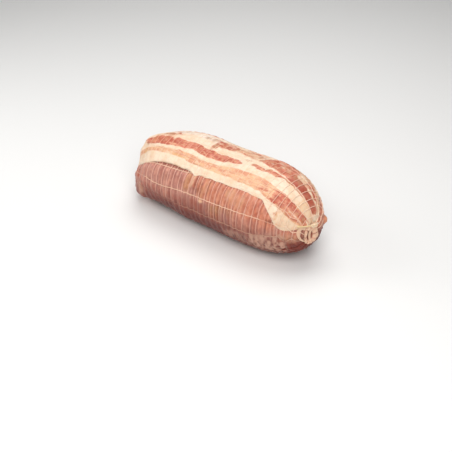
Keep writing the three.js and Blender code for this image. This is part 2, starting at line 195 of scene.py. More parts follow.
def skinFrame(length, angle):  # point, and the direction out of the roll
    place, reach, turn = placeAt(length), 0.4, 1  # millimetres and degrees to each side that show the slope
    point = skinPoint(place, angle)
    ahead = skinPoint(placeAt(length + reach), angle) - skinPoint(placeAt(length - reach), angle)
    aside = unit(skinPoint(place, angle + turn) - skinPoint(place, angle - turn))
    out = unit(np.cross(ahead, aside))
    return point, np.where(point[..., 2:] <= 0, np.array([0.0, 0.0, -1.0]), out)


# Lines of the net and the relief they press into the meat

netValues = {
    "rings": 32,
    "threads": 14,
    "firstAngle": -12,
    "twist": 10,  # degrees from end to end
    "farEnd": 13,
    "nearEnd": 15.5,
    "stub": 9.5,  # how far the lengthwise threads run on under the gathered ends
    "wander": (0.7, 2.4),  # how far rings lie off their even places, and the turn from ring to ring
    "pull": {"ring": 20, "spread": 3.5, "shift": -2.2},  # some rings are drawn to the far end
    "ringWaves": ((0.5, 2, 1.9), (0.35, 5, 0.8)),  # (size, waves round, turn from ring to ring)
    "threadWaves": ((1.1, 17, 2.1), (0.6, 7.3, 1)),  # (degrees, length, turn from thread to thread)
    "zigzag": {"size": 4.5, "reach": 46, "fade": 14, "angle": 5, "spread": 50},  # diamonds near the tied end
    "ringPoints": 200,
    "threadPoints": 190,
    "ringRadius": 0.46,
    "sides": 6,
    "knotRadius": 0.8,
    "knotFlatness": 0.75,
    "lift": {"ring": 0.25, "thread": 0.4, "knot": 0.35},  # middle of each above the skin
    "endLift": (0.3, 200, 20),  # how far it stands out near the tied end, from where, over what length
    "sink": 0.3,  # how far it sinks into fat, and into meat that is marked as sunk
    "clear": (190, 16),  # where it comes free of the fat, and over what length
    "floorGap": 0.65,
    # (place, angle) pairs of the threads that show most, by thread number
    "routes": {
        0: ((0, -12), (40, -13), (70, -11.5), (85, -9.5), (105, -8), (155, -7), (195, -6.5), (210, -3.5),
            (220, -1.5), (230, -5), (246, -6)),
        1: ((0, 12), (30, 11.5), (40, 9.5), (50, 8.7), (60, 9.5), (70, 10.8), (90, 12.3), (110, 13.5),
            (150, 14.7), (170, 16), (198, 17.5), (246, 17)),
        2: ((0, 33), (20, 32.5), (36, 36.2), (50, 37.2), (60, 38), (70, 38.8), (80, 40), (90, 41.2),
            (98, 43.5), (110, 46.5), (150, 48), (200, 48), (246, 44)),
        4: ((0, 86), (60, 88), (120, 90.6), (190, 91), (246, 91)),
    },
}
reliefValues = {
    "leanPillow": 1.0,  # how far the meat swells between rings
    "fatPillow": 0.3,
    "crossPillow": 0.45,  # the same for the threads along the roll
    "crossReach": 6,
    "lumps": 0.55,
    "lumpLayers": ((1, 21, 17, 3), (0.5, 9, 37, 4)),
    "grain": (0.45, 2.6, 90, 7),  # fine bumps under 3 mm
    "folds": 0.16,
    "foldLayers": ((0.75, 2.4, 12, 33), (0.6, 1.5, 22, 34)),
    "base": -0.75,  # height of the skin right under a ring
    "farFade": 20,
    "nearFade": 22,
    "leanShare": 0.8,  # how far the lean streaks of the sheet swell like lean
}
ringStep = (rollTotal - netValues["farEnd"] - netValues["nearEnd"]) / (netValues["rings"] - 1)
threadStep = 360 / netValues["threads"]


def ringShift(number, angle):
    size, turn = netValues["wander"]
    even = size * np.sin(number * turn) * np.sin(np.pi * number / (netValues["rings"] - 1))
    pull = netValues["pull"]
    even = even + pull["shift"] * bell(number - pull["ring"], pull["spread"])
    return even + sum(wave * np.sin(np.radians(angle * count) + number * change)
                      for wave, count, change in netValues["ringWaves"])


def threadAngleAt(number, length):
    line = netValues["firstAngle"] + threadStep * number
    sway = sum(size * np.sin(length / wave + number * turn) for size, wave, turn in netValues["threadWaves"])
    angle = line + netValues["twist"] * (length / rollTotal - 0.5) + sway
    for thread, route in netValues["routes"].items():
        angle = np.where(np.mod(number, netValues["threads"]) == thread, along(route, placeAt(length)), angle)
    z = netValues["zigzag"]
    size = z["size"] * softStep((length - rollTotal + z["reach"]) / z["fade"])
    turns = (length - netValues["farEnd"]) / ringStep + number
    diamonds = np.arcsin(np.cos(np.pi * turns)) * 2 / np.pi
    return angle + size * bell(angleBetween(line, z["angle"]), z["spread"]) * diamonds


def ringDistance(length, angle):
    number = (length - netValues["farEnd"]) / ringStep
    shifted = number - ringShift(number, angle) / ringStep
    shifted = number - ringShift(shifted, angle) / ringStep
    return np.abs(shifted - np.round(shifted)) * ringStep


def threadDistance(length, angle):
    first = netValues["firstAngle"] + netValues["twist"] * (length / rollTotal - 0.5)
    nearest = np.round((angle - first) / threadStep)
    return np.abs(angleBetween(angle, threadAngleAt(nearest, length)))


def degreeWidth(length):  # millimetres round the roll per degree
    place = placeAt(length)
    edge = skinPoint(place, 0.0) - skinPoint(place, 180.0)
    return np.maximum(np.linalg.norm(edge, axis=-1) / 2, 1) * math.pi / 180


def fineFolds(length, angle):  # about -1 to 1, narrow folds round the roll, two between rings
    even = 0.5 * np.cos(4 * np.pi * ringDistance(length, angle) / ringStep)
    return even + layeredNoise(length, angle, reliefValues["foldLayers"])


def reliefHeight(length, angle, softness):  # softness 0 on lean, 1 on fat
    v = reliefValues
    ring = np.clip(ringDistance(length, angle) / (ringStep / 2), 0, 1)
    thread = np.clip(threadDistance(length, angle) * degreeWidth(length) / v["crossReach"], 0, 1)
    pillow = v["leanPillow"] + (v["fatPillow"] - v["leanPillow"]) * softness
    swell = pillow * ring * (2 - ring) + v["crossPillow"] * thread * (2 - thread)
    grain = layeredNoise(length, angle, [v["grain"]]) * (1 - 0.5 * softness)
    lumps = v["lumps"] * (layeredNoise(length, angle, v["lumpLayers"]) + grain)
    folds = v["folds"] * fineFolds(length, angle) * (1 - softness)
    fade = softStep(length / v["farFade"]) * softStep((rollTotal - length) / v["nearFade"])
    return (v["base"] + swell + folds + lumps) * fade


# Belly sheet and where it lies

sheetValues = {
    "frontEdge": ((0, 26), (20, 31), (28, 35), (40, 39.5), (60, 43), (80, 44.3), (96, 43), (101, 40.8),
                  (107, 43.5), (138, 45), (194, 45), (201, 40), (208, 32), (214, 23.5), (219, 15.5),
                  (226, 11), (232, 14), (237, 22), (246, 40)),
    "backEdge": ((0, 150), (60, 162), (140, 158), (200, 160), (225, 138), (246, 128)),
    "frontRagged": [(0.8, 7, 8, 5)],  # noise layers of the edges
    "backRagged": [(1.2, 9, 8, 6)],
    "thickness": 4,
    "farEnd": 12,
    "nearEnd": 10,
    "margin": 0.3,
    "rim": 3,  # how wide its rounded rim is
    "rimShare": 0.7,  # of the step at the edge that the rim rounds off
    "gapDepth": 0.6,  # step down to the lean along most of the edge
    "openGap": ((20, 0.3), (36, 0.9), (50, 2), (88, 1.9), (98, 0.1)),  # extra step where the edge stands off
    "dipReach": 4.5,  # how far from the edge the lean comes up again
    "taper": 8,  # how far inside the edge the sheet has its full thickness
    "leanSink": 0.15,
    "tuck": 0.1,  # how far its underside lies under the edge's foot
    "leastThickness": 0.3,
    "rows": 310,
    "columns": 146,
}


def edgeAngles(length):
    v, place = sheetValues, placeAt(length)
    front = along(v["frontEdge"], place) + layeredNoise(length, 0 * length, v["frontRagged"])
    back = along(v["backEdge"], place) + layeredNoise(length, 0 * length, v["backRagged"])
    return front, back


def insideSheet(length, angle):  # millimetres inside the sheet's nearest edge, below 0 outside it
    front, back = edgeAngles(length)
    width = degreeWidth(length)
    fromFront, fromBack = angleBetween(angle, front) * width, angleBetween(back, angle) * width
    across = np.where(np.abs(fromFront) < np.abs(fromBack), fromFront, fromBack)
    ends = np.minimum(length - sheetValues["farEnd"], rollTotal - sheetValues["nearEnd"] - length)
    return np.minimum(across, ends)


def edgeStep(length):
    return sheetValues["gapDepth"] + along(sheetValues["openGap"], placeAt(length))


# 1 at the edge to 0 past the rounded rim, and how far the rim lies below the top there
def rimDrop(length, inside):
    reach = 1 - np.clip(np.maximum(inside, 0) / sheetValues["rim"], 0, 1)
    return reach, edgeStep(length) * sheetValues["rimShare"] * (1 - np.sqrt(1 - reach ** 2))


def edgeDip(length, inside):  # how the lean dips beside the edge
    return -edgeStep(length) * bell(np.minimum(inside, 0), sheetValues["dipReach"])


# Colour marks by kind, each with its strength first, angles and half widths in degrees.
# Streaks: (strength, softness, lower line, upper line), lines of (place, angle).
# Bands: (strength, softness, (place, lower angle, upper angle), ...).
# Spots and blocks: (strength, place, angle, half length, half width).

sheetStreaks = {
    "semi": (
        (0.9, 2.1,
         ((5, 45), (13, 50.5), (30, 53), (42, 54.5), (60, 56), (80, 56.5), (100, 55), (120, 55.5),
          (150, 56.5), (170, 55), (190, 53.5), (204, 49), (215, 46), (223, 41), (231, 37), (243, 38)),
         ((5, 57), (13, 58), (30, 62), (42, 62.5), (60, 65.5), (80, 68), (100, 67), (120, 67.5),
          (132, 70.5), (145, 73), (180, 73.5), (196, 72), (215, 71), (226, 69), (243, 71))),
        (0.5, 3,
         ((118, 100), (130, 98), (142, 96), (157, 99)),
         ((118, 112), (130, 114), (145, 113), (157, 108))),
    ),
    "lean": (
        (1, 1.9,
         ((11, 70), (14, 67.5), (20, 65.5), (30, 66.3), (42, 67.6), (50, 68.5), (60, 70.5), (70, 72.5),
          (77, 74.3), (87, 73.6), (95, 72.5), (115, 73.5), (120, 74.2), (130, 78.5), (140, 81.5),
          (146, 83)),
         ((11, 79), (14, 79), (20, 80), (23, 82), (30, 83.5), (37, 84.2), (45, 81.5), (51, 84), (60, 84.7),
          (70, 86), (84, 87), (94, 85.5), (100, 87), (110, 85), (120, 86.7), (127, 87.3), (140, 85.5),
          (146, 83.5))),
        (0.45, 3,
         ((26, 86), (34, 88), (52, 91)),
         ((26, 91), (34, 96), (44, 98), (52, 94))),
        (0.6, 3,
         ((94, 88), (99, 90), (103, 94), (117, 95.5), (121, 98)),
         ((94, 99), (97, 108), (104, 114), (112, 116), (121, 108))),
        (0.8, 2,
         ((153, 98.5), (165, 95.5), (171, 93.5), (190, 93), (215, 91.5), (230, 91.2), (241, 90.5)),
         ((153, 101), (159, 106), (163, 122), (170, 132), (180, 130), (196, 126), (201, 114), (205, 107.5),
          (220, 107), (230, 107), (235, 112), (241, 114))),
        (0.85, 1.2,
         ((156, 86), (164, 84.2), (182, 84), (190, 84.5), (193, 88.8), (210, 89), (227, 89.5)),
         ((156, 88.5), (160, 89.2), (168, 87.8), (174, 88), (180, 90.5), (190, 91.3), (200, 90.8),
          (227, 90.5))),
        (0.75, 2.2,
         ((201, 60), (204, 50.5), (215, 47.5), (220, 47), (224, 42), (230, 38), (236, 40), (243, 43)),
         ((201, 67), (208, 71), (220, 70.3), (226, 69), (230, 66), (234, 70), (243, 71))),
    ),
}
sheetBands = {
    "semi": (
        (0.8, 2.5, (14, 128, 137), (120, 130, 141), (240, 122, 131)),
        (0.6, 2.5, (20, 80, 87), (44, 83, 89)),
        (0.6, 3, (200, 107, 116), (240, 106, 114)),
    ),
    "lean": (
        (0.85, 2, (8, 112, 122), (40, 116, 127), (92, 119, 124)),
        (0.5, 3, (31, 109, 122), (38, 100, 113), (44, 94, 103), (49, 93, 96)),
        (0.85, 2, (60, 145, 150), (140, 144, 153), (215, 141, 145)),
        (0.45, 4, (128, 112, 124), (158, 107, 122)),
        (0.6, 2.5, (212, 112, 128), (222, 109, 128)),
        (0.8, 2, (222, 116, 126), (234, 113, 124)),
    ),
    "deep": (
        (0.5, 2, (172, 94, 98), (192, 94, 98)),
        (0.7, 1.5, (201, 92.5, 106), (214, 92, 106)),
        (0.88, 1.5, (214, 92, 106.5), (240, 91.5, 106.5)),
        (0.35, 3, (221, 57, 66), (240, 54, 66)),
    ),
    "tan": (
        (0.3, 6, (218, 8, 54), (246, 8, 54)),
        (0.5, 4, (228, 70, 92), (246, 70, 92)),
    ),
    "cream": (
        (0.6, 2, (225, 51, 54), (232, 48.5, 52), (239, 43, 46)),
    ),
    # painted highlight: the far top of the sheet painted whiter, as where light from behind grazes it
    "whiteAndHighlight": (
        (0.7, 6, (36, 98, 122), (98, 99, 122)),
    ),
}
sheetSpots = {
    "semi": ((0.35, 214, 25, 3, 4), (0.5, 216.3, 33, 1.8, 13), (0.3, 223, 19, 5, 4),
             (0.3, 225, 36, 1.2, 9)),
    "lean": ((0.2, 38, 60, 14, 2.5), (0.3, 66, 64.5, 10, 1.6), (0.3, 72, 63.5, 12, 2),
             (0.3, 82, 62.5, 5, 3), (0.4, 93, 107, 4, 5), (0.3, 111, 112, 8, 8), (0.15, 138, 105, 6, 4),
             (0.35, 140, 100, 8, 3), (0.4, 188, 62, 10, 6)),
    "deep": ((0.28, 30, 75, 14, 8), (0.3, 54, 78, 7, 4), (0.15, 100, 80, 28, 6), (0.5, 113, 101, 4, 4),
             (0.6, 125, 79, 5, 3), (0.5, 130, 149, 50, 3), (0.7, 207, 57, 2.5, 5), (0.5, 216, 53, 3, 3.5),
             (0.5, 226, 43, 5, 2.5), (0.6, 229, 43, 3.5, 3)),
    "tan": ((0.8, 16, 53, 5, 3), (0.35, 22, 72, 5, 5), (1, 68, 58, 9, 1.8), (0.5, 217, 34, 0.9, 9)),
    "brownAndShade": ((0.6, 16, 67, 2, 3), (0.7, 33, 95, 2.5, 5), (0.75, 37, 92, 9, 3), (0.4, 44, 101, 3, 6),
              (0.25, 52, 106, 4, 5), (1, 80, 102.5, 4, 2.6), (0.8, 89, 105, 3, 6), (0.85, 97.5, 94, 2.8, 7),
              (0.5, 98, 56.2, 14, 0.9), (0.5, 120, 101, 1.5, 4), (0.7, 124, 105, 3.5, 4),
              (0.5, 137, 112, 2, 4), (1, 146, 91.6, 4.5, 1.1), (0.7, 151, 108, 2, 5),
              (0.6, 158, 100, 2.5, 4), (0.3, 160, 57, 12, 0.9), (0.5, 160, 87, 3.5, 1.6),
              (0.5, 173, 100, 3, 2), (0.5, 176, 89, 4, 1.6), (0.6, 184, 100, 3, 2), (0.6, 192, 102.5, 3, 2),
              # the thin line at place 209, angle 89.8 is painted shade beside the lengthwise thread
              (0.6, 205, 103.5, 5, 2.6), (0.7, 209, 89.8, 16, 0.8), (0.6, 210, 103, 3, 2.5),
              (0.7, 217, 47.5, 4, 1), (0.25, 224.5, 26, 0.7, 12), (0.25, 231.5, 24, 0.7, 10),
              (0.6, 238.5, 54, 1.6, 12)),
    "cream": ((0.35, 46, 83, 1.6, 3), (0.5, 172, 101, 3, 2), (0.5, 178, 112, 4, 3), (0.7, 184, 104, 3, 1.6),
              (0.4, 190, 108, 2.5, 3), (0.7, 206, 112, 5, 3), (0.9, 226, 110, 6, 2.5)),
    "whiteAndHighlight": ((0.2, 208, 40, 7, 7),),
}
sheetRagged = {  # noise layers that shift the marks along and round, so their edges are ragged
    "place": ((1.6, 9, 60, 21), (1.2, 4, 130, 22)),
    "angle": ((0.7, 12, 50, 23), (0.8, 4, 120, 24)),
}

leanBands = {
    "warm": (
        (0.9, 9, (40, 168, 196), (150, 166, 196)),
        (0.8, 6, (102, 26, 50), (114, 20, 50)),
        (1, 9, (112, 14, 48), (200, 10, 48), (219, 4, 48)),
        (0.6, 9, (160, -8, 16), (205, -2, 14)),
        (0.9, 10, (222, -60, 8), (248, -60, 24)),
        (0.9, 10, (232, 100, 240), (248, 100, 240)),
    ),
    "red": (
        (0.42, 9, (24, -24, 5), (150, -26, 1)),
    ),
    "fat": (
        (0.4, 5, (16, -56, -42), (70, -54, -36)),
        (0.55, 6, (150, -34, -16), (194, -34, -10)),
        (0.5, 6, (156, -64, -42), (226, -62, -44)),
        (1, 6, (190, -40, -9), (196, -40, -6), (204, -40, -4), (212, -40, -1), (218, -40, 2), (224, -40, 5),
              (230, -40, 0)),
    ),
    "tan": (
        (0.9, 5, (130, -5, 12), (149, -6, 14)),
    ),
    "dark": (
        (0.1, 6, (24, -16, -4), (84, -16, 0)),
        # painted shadow in the gap under the belly sheet's front edge, from place 27 to 97
        (0.65, 1.2, (27, 33.4, 38), (36, 37, 41), (50, 38.6, 44), (60, 39.6, 46), (80, 41.5, 47),
                   (97, 42.5, 46)),
        (0.3, 6, (60, -26, -14), (150, -26, -12)),
        (0.45, 5, (88, -9, 8), (129, -9, 10)),
    ),
    "sunk": (
        (0.7, 6, (6, -30, 34), (30, -30, 34)),
        (0.35, 3, (30, 17, 34), (200, 22, 46)),
        (0.75, 5, (82, -7, 10), (126, -7, 11)),
        (0.8, 4, (202, -3, 32), (216, -1, 28)),
    ),
}
leanSpots = {
    "warm": ((0.5, 110, 1, 6, 6), (0.8, 204, 20, 4, 18), (0.8, 213.5, 10, 4.5, 7)),
    "red": ((0.9, 6, 14, 5, 10), (0.6, 12, -25, 4, 8), (0.8, 15, 9, 4, 6), (0.6, 21, -34, 9, 10),
            (0.6, 26, -16, 3.5, 10), (0.65, 108, 4, 6, 6), (0.8, 118, 2, 5, 5), (0.25, 186, 30, 5, 9)),
    "fat": ((0.8, 20, -10, 2.5, 5), (0.5, 52, 212, 22, 9), (0.4, 110, 268, 60, 14), (0.35, 150, 224, 26, 8),
            (0.5, 215.5, 3, 1.4, 4), (0.9, 221, 8, 2.5, 5), (1, 223, 5, 2.4, 7)),
    "pale": ((0.3, 21, -19, 4.5, 10), (0.35, 98, 12.8, 7, 1.4), (0.9, 118, 11.3, 3.2, 2),
             (0.4, 156, 37, 6, 7), (0.2, 165, 30, 12, 8), (0.25, 234, -3, 7, 10)),
    "tan": ((0.55, 116, 21, 4, 7), (0.5, 158, 10, 8, 6), (0.8, 160, 184, 18, 13)),
    "dark": ((0.9, 17, 17.5, 2, 2), (0.2, 22, -4, 7, 5), (0.25, 62, 25, 4, 6), (0.55, 82, -6, 3.5, 3),
             (0.35, 85, 25, 3.5, 3), (0.6, 109, 22.5, 5, 4.5), (0.6, 115.5, 32.5, 1.5, 2.5),
             (0.4, 125, 1, 5, 6), (0.6, 147, -14, 4, 4), (0.5, 157, -25, 3.5, 4), (0.5, 160, -10, 3, 2.5),
             (0.6, 168, -21, 4, 3), (0.8, 180, -14, 3.5, 4), (0.35, 188, -1, 8, 3), (0.4, 200, 180, 22, 14),
             (0.85, 214, 21, 2.6, 4), (0.9, 242.3, 20, 1.1, 13), (0.9, 244, 8, 2.6, 26)),
}
leanBlocks = {
    "warm": ((0.95, 94, 31, 3.8, 11),),
    "red": ((0.55, 195.5, 31, 2.2, 10),),
    "pale": ((0.3, 98.6, 22, 1, 8), (0.6, 100.6, 33, 2.2, 10), (0.6, 112, 172, 2.5, 9),
             (0.25, 120.6, 33, 2, 9)),
    "tan": ((0.75, 94, 29, 3.6, 13), (0.6, 113.5, 33, 1.5, 8), (0.7, 125, 32, 1.6, 11),
            (0.5, 174, 32, 2, 10)),
    # the line at place 209.4 is painted shade in a crease
    "dark": ((0.6, 106.5, 35, 2.2, 8), (0.9, 209.4, 11, 0.9, 12)),
}
leanRagged = {"place": [(0.8, 5, 70, 25)], "angle": [(2.5, 6, 50, 26)]}
leanLook = {
    "mottle": ((0.8, 3.6, 44, 31), (0.8, 1.7, 80, 32)),  # noise layers that break up the fat
    "sunkFolds": 0.45,  # how strongly folds still show on sunk meat
    # width of the painted shade along the rings
    "creaseWidth": 1.2,
    "tipFat": (24, 6),  # pale fat between the sheet's edges, this far from the tied tip, and its soft edge
    "lowClimb": 15,  # degrees above the flanks where the painted shade starts, darker towards the underside
    "lowFade": 40,
}


def streakMask(place, angle, strength, soft, low, high):
    fade = 4  # millimetres at each end
    across = softStep(angleBetween(angle, along(low, place)) / soft + 0.5)
    across = across * softStep(angleBetween(along(high, place), angle) / soft + 0.5)
    ends = softStep((place - low[0][0]) / fade + 0.5) * softStep((low[-1][0] - place) / fade + 0.5)
    return strength * across * ends


def bandMask(place, angle, strength, soft, *cuts):
    low, high = ([(cut[0], cut[side]) for cut in cuts] for side in (1, 2))
    return streakMask(place, angle, strength, soft, low, high)


def spotReach(place, angle, atPlace, atAngle, halfLength, halfWidth):
    return np.abs(place - atPlace) / halfLength, np.abs(angleBetween(angle, atAngle)) / halfWidth


def spotMask(place, angle, strength, *spot):
    return strength * softStep(1.5 - np.hypot(*spotReach(place, angle, *spot)))


def blockMask(place, angle, strength, *block):  # bounded by rings, so its edges are straight and crisp
    lengthwise, roundwise = spotReach(place, angle, *block)
    return strength * softStep((1.2 - (lengthwise ** 6 + roundwise ** 6) ** (1 / 6)) / 0.4)


def paint(length, angle, ragged, *drawn):  # drawn: pairs of a mask function and its marks
    place = placeAt(length) + layeredNoise(length, angle, ragged["place"])
    angle = angle + layeredNoise(length, angle, ragged["angle"])
    masks = {}
    for draw, marks in drawn:
        for kind, rows in marks.items():
            for row in rows:
                masks[kind] = np.maximum(masks.get(kind, 0), draw(place, angle, *row))
    return masks


def sheetMasks(length, angle):
    return paint(length, angle, sheetRagged,
                 (streakMask, sheetStreaks), (bandMask, sheetBands), (spotMask, sheetSpots))


def leanMasks(length, angle):
    masks = paint(length, angle, leanRagged,
                  (bandMask, leanBands), (spotMask, leanSpots), (blockMask, leanBlocks))
    v, place, folds = leanLook, placeAt(length), fineFolds(length, angle)
    masks["fat"] = masks["fat"] * softStep(0.62 + 0.7 * layeredNoise(length, angle, v["mottle"])) * 0.9
    plain = 1 - (1 - v["sunkFolds"]) * masks["sunk"]
    # painted shade in the troughs (stripe) and painted highlight on the crests (light) of the fine folds that
    # the relief also carries, and painted shade along the rings; all weaker on sunk meat
    masks["stripe"] = softStep(0.3 - 0.8 * folds) * plain
    masks["light"] = softStep(0.1 + 0.9 * folds) * plain
    masks["creaseShade"] = bell(ringDistance(length, angle), v["creaseWidth"]) * plain
    front, back = edgeAngles(length)
    underSheet = softStep(angleBetween(angle, front) / 3) * softStep(angleBetween(back, angle) / 3)
    nearTip = softStep((length - rollTotal + v["tipFat"][0]) / v["tipFat"][1])
    masks["pale"] = np.clip(np.maximum(masks["pale"], underSheet * nearTip), 0, 1)
    # low: painted shade, the meat painted darker towards the underside as if the lower flanks got less light
    climb = 90 - np.abs(angleBetween(angle, 90))  # degrees above the flanks, below 0 under them
    low = softStep((v["lowClimb"] - 5 * softStep((90 - place) / 60) - climb) / v["lowFade"])
    masks["low"] = low * (1 - 0.45 * softStep((40 - place) / 24))  # less so at the far end
    masks["sunk"] = np.maximum(masks["sunk"], 0.95 * softStep((-5 - climb) / 8))
    return masks


# Meshes

def newObject(name, data):
    made = bpy.data.objects.new(name, data)
    bpy.context.scene.collection.objects.link(made)
    return made


def setAttributes(mesh, attributes):  # numbers, or vectors where the values have three columns
    for key, values in attributes.items():
        values = np.asarray(values, np.float32)
        kind, slot = ("FLOAT_VECTOR", "vector") if values.ndim == 2 else ("FLOAT", "value")
        mesh.attributes.new(key, kind, "POINT").data.foreach_set(slot, values.ravel())


def newPiece(name, points, faces, attributes):
    mesh = bpy.data.meshes.new(name)
    mesh.from_pydata((points * mm).tolist(), [], faces)
    mesh.validate()
    setAttributes(mesh, attributes)
    mesh.shade_smooth()
    return newObject(name, mesh)


def gridFaces(grid):  # between neighbours in a grid of point numbers
    corners = (grid[:-1, :-1], grid[:-1, 1:], grid[1:, 1:], grid[1:, :-1])
    return np.stack(corners, -1).reshape(-1, 4).tolist()


def tubeFaces(rows, columns):  # rings of points, closed at both ends on the two points after them
    count = rows * columns
    grid = np.arange(count).reshape(rows, columns)
    grid = np.hstack([grid, grid[:, :1]])
    first, last = grid[0].tolist(), grid[-1].tolist()
    farEnd = [(b, a, count) for a, b in zip(first, first[1:])]
    return gridFaces(grid) + farEnd + [(a, b, count + 1) for a, b in zip(last, last[1:])]


def slabFaces(rows, columns):  # two grids of points, one over the other, joined round their border
    count = rows * columns
    grid = np.arange(count).reshape(rows, columns)
    border = np.concatenate([grid[:-1, 0], grid[-1, :-1], grid[:0:-1, -1], grid[0, :0:-1]]).tolist()
    rim = [(a, b, b + count, a + count) for a, b in zip(border, border[1:] + border[:1])]
    return gridFaces(grid) + gridFaces(grid.T + count) + rim


leanValues = {
    "rows": 306,
    "columns": 300,
    "margin": 1.2,  # from the tips to the first and last row
    "tagPlace": 237,
    "tagAngle": 177,
    "tagHeight": 4.5,
    "tagSpread": 4.8,
    "seatDepth": 4.35,
    "seatGap": 0.3,  # between the sheet's edge and its seat
    "seatRelief": 0.3,  # share of the hollows that goes on under the sheet
}


def leanHeights(length, angle):
    v, inside, step = leanValues, insideSheet(length, angle), edgeStep(length)
    under = -step - v["seatGap"] - (v["seatDepth"] - step) * softStep(inside / sheetValues["taper"])
    relief = reliefHeight(length, angle, 0.0)
    under = under + np.minimum(relief, 0) * v["seatRelief"]
    return np.where(inside > 0, under, edgeDip(length, inside) + relief)


def makeLeanMeat():
    v = leanValues
    length = np.linspace(v["margin"], rollTotal - v["margin"], v["rows"])[:, None]
    angle = np.arange(v["columns"])[None, :] * 360 / v["columns"]
    length, angle = np.broadcast_arrays(length, angle)
    point, out = skinFrame(length, angle)
    tagCentre = skinPoint(v["tagPlace"], v["tagAngle"])
    tag = np.exp(-(np.linalg.norm(point - tagCentre, axis=-1) / v["tagSpread"]) ** 3)
    shape = point + out * (leanHeights(length, angle) + v["tagHeight"] * tag)[..., None]
    shape[..., 2] = np.maximum(shape[..., 2], 0.0)
    tips = skinPoint(np.array([0.0, rollForm["length"]]), 0.0)
    masks = {**leanMasks(length, angle), "tag": tag}
    masks = {key: np.append(values.ravel(), [0.0, 0.0]) for key, values in masks.items()}
    points = np.concatenate([shape.reshape(-1, 3), tips])
    return newPiece("leanMeat", points, tubeFaces(v["rows"], v["columns"]), masks)


def makeBellySheet():
    v = sheetValues
    start, stop = v["farEnd"] + v["margin"], rollTotal - v["nearEnd"] - v["margin"]
    length = np.linspace(start, stop, v["rows"])[:, None]
    front, back = edgeAngles(length)
    angle = front + (back - front) * np.linspace(0, 1, v["columns"])[None, :]
    length, angle = np.broadcast_arrays(length, angle)
    inside = np.maximum(insideSheet(length, angle), 0)
    step = edgeStep(length)
    masks = sheetMasks(length, angle)
    relief = reliefHeight(length, angle, 1 - reliefValues["leanShare"] * masks["lean"])
    reach, drop = rimDrop(length, inside)
    top = relief * (1 - reach) - drop - v["leanSink"] * masks["lean"] * (1 - reach)
    under = -step - v["tuck"] - (v["thickness"] - step) * softStep(inside / v["taper"])
    under = np.minimum(under, top - v["leastThickness"])
    point, out = skinFrame(length, angle)
    points = np.concatenate([(point + out * height[..., None]).reshape(-1, 3) for height in (top, under)])
    masks = {key: np.tile(values.ravel(), 2) for key, values in masks.items()}
    return newPiece("bellySheet", points, slabFaces(v["rows"], v["columns"]), masks)


# Geometry Nodes

def addNode(tree, kind, links=None, **settings):
    node = tree.nodes.new(kind)
    for key, value in settings.items():
        setattr(node, key, value)
    for key, value in (links or {}).items():
        if isinstance(value, bpy.types.NodeSocket):
            tree.links.new(value, node.inputs[key])
        else:
            node.inputs[key].default_value = value
    return node


def newTree(name, inputs):
    tree = bpy.data.node_groups.new(name, "GeometryNodeTree")
    tree.interface.new_socket("Geometry", in_out="INPUT", socket_type="NodeSocketGeometry")
    for key, kind in inputs.items():
        tree.interface.new_socket(key, in_out="INPUT", socket_type=kind)
    tree.interface.new_socket("Geometry", in_out="OUTPUT", socket_type="NodeSocketGeometry")
    return tree, addNode(tree, "NodeGroupInput").outputs


def endTree(tree, geometry, material):
    real = addNode(tree, "GeometryNodeRealizeInstances", {"Geometry": geometry})
    coated = addNode(tree, "GeometryNodeSetMaterial", {"Geometry": real.outputs[0], "Material": material})
    smooth = addNode(tree, "GeometryNodeSetShadeSmooth", {"Geometry": coated.outputs[0]})
    addNode(tree, "NodeGroupOutput", {"Geometry": smooth.outputs[0]})
    return tree


def cordTree():  # a round cord along every line of the mesh
    inputs = {"Radius": "NodeSocketFloat", "Sides": "NodeSocketInt", "Material": "NodeSocketMaterial"}
    tree, given = newTree("cordAlongLines", inputs)
    lines = addNode(tree, "GeometryNodeMeshToCurve", {"Mesh": given["Geometry"]})
    ring = addNode(tree, "GeometryNodeCurvePrimitiveCircle",
                   {"Resolution": given["Sides"], "Radius": given["Radius"]})
    tube = addNode(tree, "GeometryNodeCurveToMesh",
                   {"Curve": lines.outputs[0], "Profile Curve": ring.outputs[0], "Fill Caps": True})
    return endTree(tree, tube.outputs[0], given["Material"])


def knotTree():  # a small lump on every point, pressed flat along its own normal
    inputs = {"Radius": "NodeSocketFloat", "Flatness": "NodeSocketFloat", "Material": "NodeSocketMaterial"}
    tree, given = newTree("knotsOnPoints", inputs)
    normal = addNode(tree, "GeometryNodeInputNamedAttribute", {"Name": "outward"}, data_type="FLOAT_VECTOR")
    turn = addNode(tree, "FunctionNodeAlignRotationToVector", {"Vector": normal.outputs[0]})
    ball = addNode(tree, "GeometryNodeMeshIcoSphere", {"Radius": given["Radius"], "Subdivisions": 2})
    flat = addNode(tree, "ShaderNodeCombineXYZ", {"X": 1.0, "Y": 1.0, "Z": given["Flatness"]})
    placed = addNode(tree, "GeometryNodeInstanceOnPoints", {
        "Points": given["Geometry"], "Instance": ball.outputs["Mesh"],
        "Rotation": turn.outputs[0], "Scale": flat.outputs[0]})
    return endTree(tree, placed.outputs[0], given["Material"])


def grow(piece, tree, values):  # runs the tree on the piece and keeps the result as plain mesh
    modifier = piece.modifiers.new(tree.name, "NODES")
    modifier.node_group = tree
    for item in tree.interface.items_tree:
        if item.in_out == "INPUT" and item.name in values:
            modifier[item.identifier] = values[item.name]
    evaluated = piece.evaluated_get(bpy.context.evaluated_depsgraph_get())
    mesh = bpy.data.meshes.new_from_object(evaluated)
    piece.modifiers.remove(modifier)
    piece.data = mesh
    return piece


def growCord(piece, radius, sides, material):
    return grow(piece, cordTree(), {"Radius": radius * mm, "Sides": sides, "Material": material})


